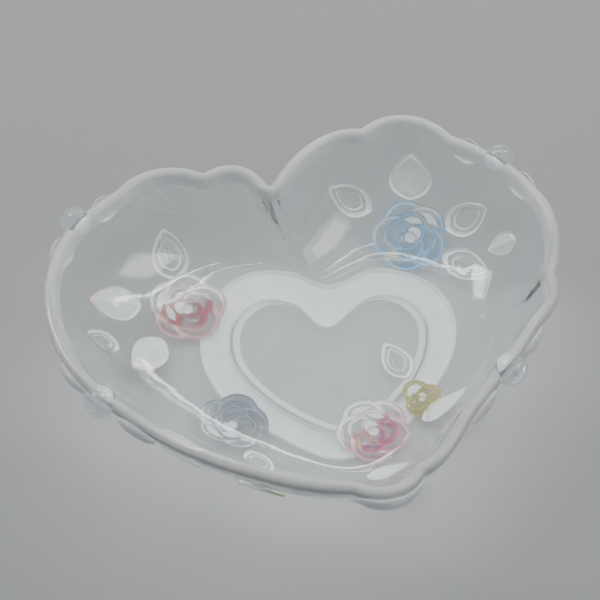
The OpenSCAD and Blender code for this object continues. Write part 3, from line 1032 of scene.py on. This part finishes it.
def add_light(name, place, size, power, aim):
    """Soft rectangular lamp at place, pointing at aim."""
    data = bpy.data.lights.new(name, "AREA")
    data.shape = "RECTANGLE"
    data.size, data.size_y = size
    data.energy = power
    lamp = add_object(name, data)
    lamp.location = place
    lamp.rotation_euler = look_along(np.array(aim) - np.array(place))


def look_along(direction):
    """Turn that points an object's -Z along a direction, with +Y up."""
    return Vector(direction).to_track_quat("-Z", "Y").to_euler()


def studio_world():
    """Surroundings that darken from overhead down to the horizon, so that edges show."""
    world = bpy.data.worlds.new("studio")
    world.use_nodes = True
    nodes, links = world.node_tree.nodes, world.node_tree.links
    place = nodes.new("ShaderNodeTexCoord")
    split = nodes.new("ShaderNodeSeparateXYZ")
    height = add_node(nodes, "MapRange", From_Min=0.05, From_Max=0.75)
    share, _, _, mixed = colour_mix(nodes, (0.03, 0.033, 0.036, 1), (0.26, 0.27, 0.285, 1))
    links.new(place.outputs["Generated"], split.inputs["Vector"])
    links.new(split.outputs["Z"], height.inputs["Value"])
    links.new(height.outputs["Result"], share)
    links.new(mixed, nodes["Background"].inputs["Color"])
    return world


def build_stage(props):
    """Pale floor, soft lamps, dim surroundings and the camera."""
    half, top = 4.0, -0.25 * MM
    corners = [(-half, -half, top), (half, -half, top), (half, half, top), (-half, half, top)]
    mesh = bpy.data.meshes.new("table")
    mesh.from_pydata(corners, [], [(0, 1, 2, 3)])
    table = add_object("table", mesh)
    mesh.materials.append(floor_material(tuple(props.table_colour)))

    add_light("key_softbox", (-0.55, 0.35, 0.75), (0.4, 0.3), 3.6, (0, 0, 0))
    add_light("fill_softbox", (0.7, -0.1, 0.6), (0.35, 0.35), 1.6, (0, 0, 0))
    add_light("strip_light", (0.1, 0.75, 0.45), (0.7, 0.06), 2.4, (0, 0, 0.02))
    add_light("tube_back", (-0.1, 0.35, 1.0), (1.3, 0.025), 2.4, (0, 0, 0.02))
    add_light("tube_side", (0.5, 0.3, 0.8), (0.02, 0.9), 2.0, (0, 0, 0.02))
    bpy.context.scene.world = studio_world()

    tilt = math.radians(props.camera_height)
    aim = np.array([-1.6, 24.8, 0]) * MM
    place = aim + 0.6 * np.array([0, -math.cos(tilt), math.sin(tilt)])
    data = bpy.data.cameras.new("camera")
    data.lens = 93.9
    data.sensor_width = 36
    camera = add_object("camera", data)
    camera.location = place
    camera.rotation_euler = look_along(aim - place)
    bpy.context.scene.camera = camera


# --- Add-on ----------------------------------------------------------------------------------

def colour_setting(name, description, default):
    """Colour setting with its name, description and default."""
    return bpy.props.FloatVectorProperty(name=name, description=description, subtype="COLOR",
                                         size=3, default=default, min=0.0, max=1.0)


class BowlSettings(bpy.types.PropertyGroup):
    """Sizes and colours of the bowl and its stage."""
    steps_round: bpy.props.IntProperty(
        name="Steps round", description="Facets between two stations of the outline",
        default=24, min=6, max=40)
    steps_up: bpy.props.IntProperty(
        name="Steps up", description="Facets from the floor to the rim", default=36, min=8, max=60)
    camera_height: bpy.props.FloatProperty(
        name="Camera height", description="Angle of the view above the table, in degrees",
        default=55.0, min=10.0, max=89.0)
    bead_width: bpy.props.FloatProperty(
        name="Bead width", description="Diameter of the round beads on the rim",
        default=11.2 * SIZE_K * MM, min=8 * MM, max=13 * MM, unit="LENGTH", precision=4)
    rose_height: bpy.props.FloatProperty(
        name="Rose height", description="Height of the roses above the glass",
        default=2.5 * MM, min=1.6 * MM, max=4 * MM, unit="LENGTH", precision=4)
    leaf_height: bpy.props.FloatProperty(
        name="Leaf height", description="Height of the leaves above the glass",
        default=1.5 * MM, min=1 * MM, max=3 * MM, unit="LENGTH", precision=4)
    petal_height: bpy.props.FloatProperty(
        name="Rim petal height", description="Height of the satin petals on the rim",
        default=2.6 * MM, min=1.5 * MM, max=4 * MM, unit="LENGTH", precision=4)
    rose_crimson: colour_setting("Crimson rose", "Stain of the rose on the left wall",
                                 (0.46, 0.0, 0.035))
    rose_blue: colour_setting("Blue rose", "Stain of the rose on the right wall",
                              (0.18, 0.48, 0.8))
    rose_grey: colour_setting("Grey rose", "Stain of the rose on the near wall",
                              (0.2, 0.27, 0.36))
    rose_pink: colour_setting("Pink rose", "Stain of the rose under the floor",
                              (0.58, 0.0, 0.2))
    bud_olive: colour_setting("Olive bud", "Stain of the bud under the floor",
                              (0.55, 0.52, 0.0))
    leaf_green: colour_setting("Leaf green", "Stain on the edges of the clear leaves",
                               (0.3, 0.48, 0.02))
    table_colour: colour_setting("Table colour", "Colour of the pale table", (0.34, 0.35, 0.36))


class BOWL_OT_add_stage(bpy.types.Operator):
    """Add the table, the lamps, the surroundings and the camera"""
    bl_idname = "bowl.add_stage"
    bl_label = "Stage"

    def execute(self, context):
        build_stage(context.scene.bowl_settings)
        return {"FINISHED"}


class BOWL_OT_add_shell(bpy.types.Operator):
    """Add the clear bowl shell with its scalloped rim"""
    bl_idname = "bowl.add_shell"
    bl_label = "Bowl shell"

    def execute(self, context):
        build_bowl(context.scene.bowl_settings)
        return {"FINISHED"}


class BOWL_OT_add_beads(bpy.types.Operator):
    """Add the four round beads on the rim"""
    bl_idname = "bowl.add_beads"
    bl_label = "Rim beads"

    def execute(self, context):
        build_beads(context.scene.bowl_settings)
        return {"FINISHED"}


class BOWL_OT_add_foot(bpy.types.Operator):
    """Add the satin heart foot and the clear panel inside it"""
    bl_idname = "bowl.add_foot"
    bl_label = "Heart foot"

    def execute(self, context):
        build_foot(context.scene.bowl_settings)
        build_panel(context.scene.bowl_settings)
        return {"FINISHED"}


class BOWL_OT_add_roses(bpy.types.Operator):
    """Add the stained roses and the bud"""
    bl_idname = "bowl.add_roses"
    bl_label = "Roses"

    def execute(self, context):
        build_flowers(context.scene.bowl_settings)
        return {"FINISHED"}


class BOWL_OT_add_leaves(bpy.types.Operator):
    """Add the clear and satin leaves"""
    bl_idname = "bowl.add_leaves"
    bl_label = "Leaves"

    def execute(self, context):
        build_leaves(context.scene.bowl_settings)
        return {"FINISHED"}


class BOWL_OT_add_rim(bpy.types.Operator):
    """Add the satin petals on the rim and the lobe at the tip"""
    bl_idname = "bowl.add_rim"
    bl_label = "Rim petals"

    def execute(self, context):
        build_rim(context.scene.bowl_settings)
        return {"FINISHED"}


OPERATORS = [BOWL_OT_add_stage, BOWL_OT_add_shell, BOWL_OT_add_beads, BOWL_OT_add_foot,
             BOWL_OT_add_roses, BOWL_OT_add_leaves, BOWL_OT_add_rim]


class BOWL_PT_sidebar(bpy.types.Panel):
    """Lists the bowl's pieces and settings."""
    bl_idname = "BOWL_PT_sidebar"
    bl_label = "Heart Relief Glass Bowl"
    bl_space_type = "VIEW_3D"
    bl_region_type = "UI"
    bl_category = "Glass Bowl"

    def draw(self, context):
        settings = context.scene.bowl_settings
        for name in BowlSettings.__annotations__:
            self.layout.prop(settings, name)
        for operator in OPERATORS:
            self.layout.operator(operator.bl_idname)


CLASSES = [BowlSettings, *OPERATORS, BOWL_PT_sidebar]


def register():
    for item in CLASSES:
        bpy.utils.register_class(item)
    bpy.types.Scene.bowl_settings = bpy.props.PointerProperty(type=BowlSettings)


def unregister():
    del bpy.types.Scene.bowl_settings
    for item in reversed(CLASSES):
        bpy.utils.unregister_class(item)


def main():
    register()
    bpy.ops.bowl.add_stage()
    bpy.ops.bowl.add_shell()
    bpy.ops.bowl.add_beads()
    bpy.ops.bowl.add_foot()
    bpy.ops.bowl.add_roses()
    bpy.ops.bowl.add_leaves()
    bpy.ops.bowl.add_rim()


if __name__ == "__main__":
    main()
